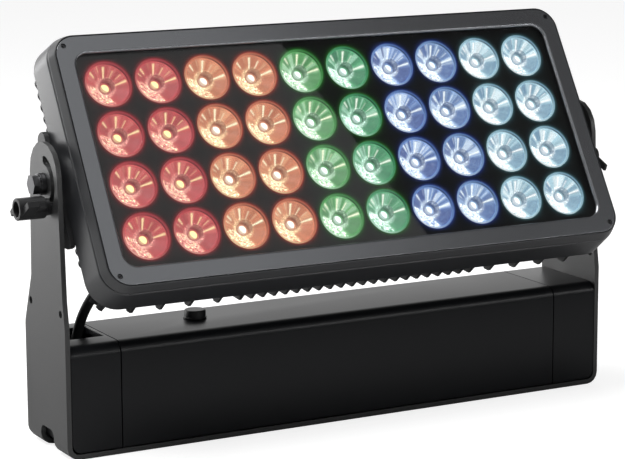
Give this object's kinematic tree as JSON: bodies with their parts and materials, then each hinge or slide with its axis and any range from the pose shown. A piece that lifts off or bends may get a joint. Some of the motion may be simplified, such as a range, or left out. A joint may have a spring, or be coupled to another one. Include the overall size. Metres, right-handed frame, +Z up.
{
  "type": "led wash light",
  "caption": "Rectangular LED wash panel with round lenses in a deep sloped frame, tilting in a U yoke over a long driver case, with finned heat sinks behind.",
  "frame": {"origin": "middle of the underside of the yoke's floor plate, where the light stands or is clamped", "axes": "+X to the light's right along the case, +Y to the back, away from where it shines, +Z up"},
  "size_m": [0.5295, 0.1632, 0.3193],
  "materials": {
    "yoke_paint": "fine textured black powder coat, satin",
    "case_paint": "black powder coat, satin",
    "housing_paint": "black powder coat on a casting, satin",
    "cast_aluminium": "black anodised",
    "black_plastic": "fine grained",
    "black_rubber": "matte",
    "black_zinc_steel": "blackened",
    "clear_glass": "clear, polished",
    "lens_acrylic": "clear moulded, honeycomb front",
    "circuit_board": "solder mask",
    "led_board_white": "white solder mask",
    "display_screen": "dark window"
  },
  "bodies": {
    "base": {"yoke": "yoke_paint", "case_body": "case_paint", "case_cap_left": "case_paint", "case_cap_right": "case_paint", "case_screw_1": "black_zinc_steel", "case_screw_2": "black_zinc_steel", "case_screw_3": "black_zinc_steel", "case_screw_4": "black_zinc_steel", "vent_plug": "black_plastic", "power_supply": "cast_aluminium", "control_panel": "black_plastic", "display_window": "display_screen", "control_board": "circuit_board", "power_inlet": "black_plastic", "power_outlet": "black_plastic", "data_inlet": "black_plastic", "data_outlet": "black_plastic", "case_gland": "black_plastic", "tilt_cable": "black_rubber"},
    "head": {"head_housing": "housing_paint", "front_bezel": "housing_paint", "bezel_screw_1": "black_zinc_steel", "bezel_screw_2": "black_zinc_steel", "bezel_screw_3": "black_zinc_steel", "bezel_screw_4": "black_zinc_steel", "front_glass": "clear_glass", "glass_gasket": "black_rubber", "lens_mask": "black_plastic", "lens_column_1": "lens_acrylic", "lens_column_2": "lens_acrylic", "lens_column_3": "lens_acrylic", "lens_column_4": "lens_acrylic", "lens_column_5": "lens_acrylic", "lens_column_6": "lens_acrylic", "lens_column_7": "lens_acrylic", "lens_column_8": "lens_acrylic", "lens_column_9": "lens_acrylic", "lens_column_10": "lens_acrylic", "led_board": "led_board_white", "heat_sink_middle": "cast_aluminium", "heat_sink_left": "cast_aluminium", "heat_sink_right": "cast_aluminium", "side_bracket_left": "black_plastic", "side_bracket_right": "black_plastic", "friction_disc_left": "black_rubber", "friction_disc_right": "black_rubber", "pivot_washer_left": "black_zinc_steel", "pivot_washer_right": "black_zinc_steel", "pivot_bolt_left": "black_zinc_steel", "pivot_bolt_right": "black_zinc_steel", "head_gland": "black_plastic"},
    "knob_left": {"lock_knob_left": "black_plastic", "lock_stud_left": "black_zinc_steel"},
    "knob_right": {"lock_knob_right": "black_plastic", "lock_stud_right": "black_zinc_steel"},
    "button_1": {"menu_button_1": "black_rubber"},
    "button_2": {"menu_button_2": "black_rubber"},
    "button_3": {"menu_button_3": "black_rubber"},
    "button_4": {"menu_button_4": "black_rubber"}
  },
  "joints": [
    {"name": "head_tilt", "type": "hinge", "parent": "base", "child": "head", "pos_m": [0, -0.0045, 0.2098], "axis": [-1, 0, 0], "range_deg": [-41.4, 138.6], "deforming": ["tilt_cable"]},
    {"name": "knob_turn_left", "type": "hinge", "parent": "head", "child": "knob_left", "pos_m": [-0.26, -0.0143, 0.19375], "axis": [-1, 0, 0], "range_deg": [0, 360]},
    {"name": "knob_turn_right", "type": "hinge", "parent": "head", "child": "knob_right", "pos_m": [0.252, -0.0143, 0.19375], "axis": [1, 0, 0], "range_deg": [0, 360]},
    {"name": "button_press_1", "type": "slide", "parent": "base", "child": "button_1", "axis": [0, -1, 0], "range_m": [0, 0.0008], "stiffness_N_per_m": 450},
    {"name": "button_press_2", "type": "slide", "parent": "base", "child": "button_2", "axis": [0, -1, 0], "range_m": [0, 0.0008], "stiffness_N_per_m": 450},
    {"name": "button_press_3", "type": "slide", "parent": "base", "child": "button_3", "axis": [0, -1, 0], "range_m": [0, 0.0008], "stiffness_N_per_m": 450},
    {"name": "button_press_4", "type": "slide", "parent": "base", "child": "button_4", "axis": [0, -1, 0], "range_m": [0, 0.0008], "stiffness_N_per_m": 450}
  ]
}
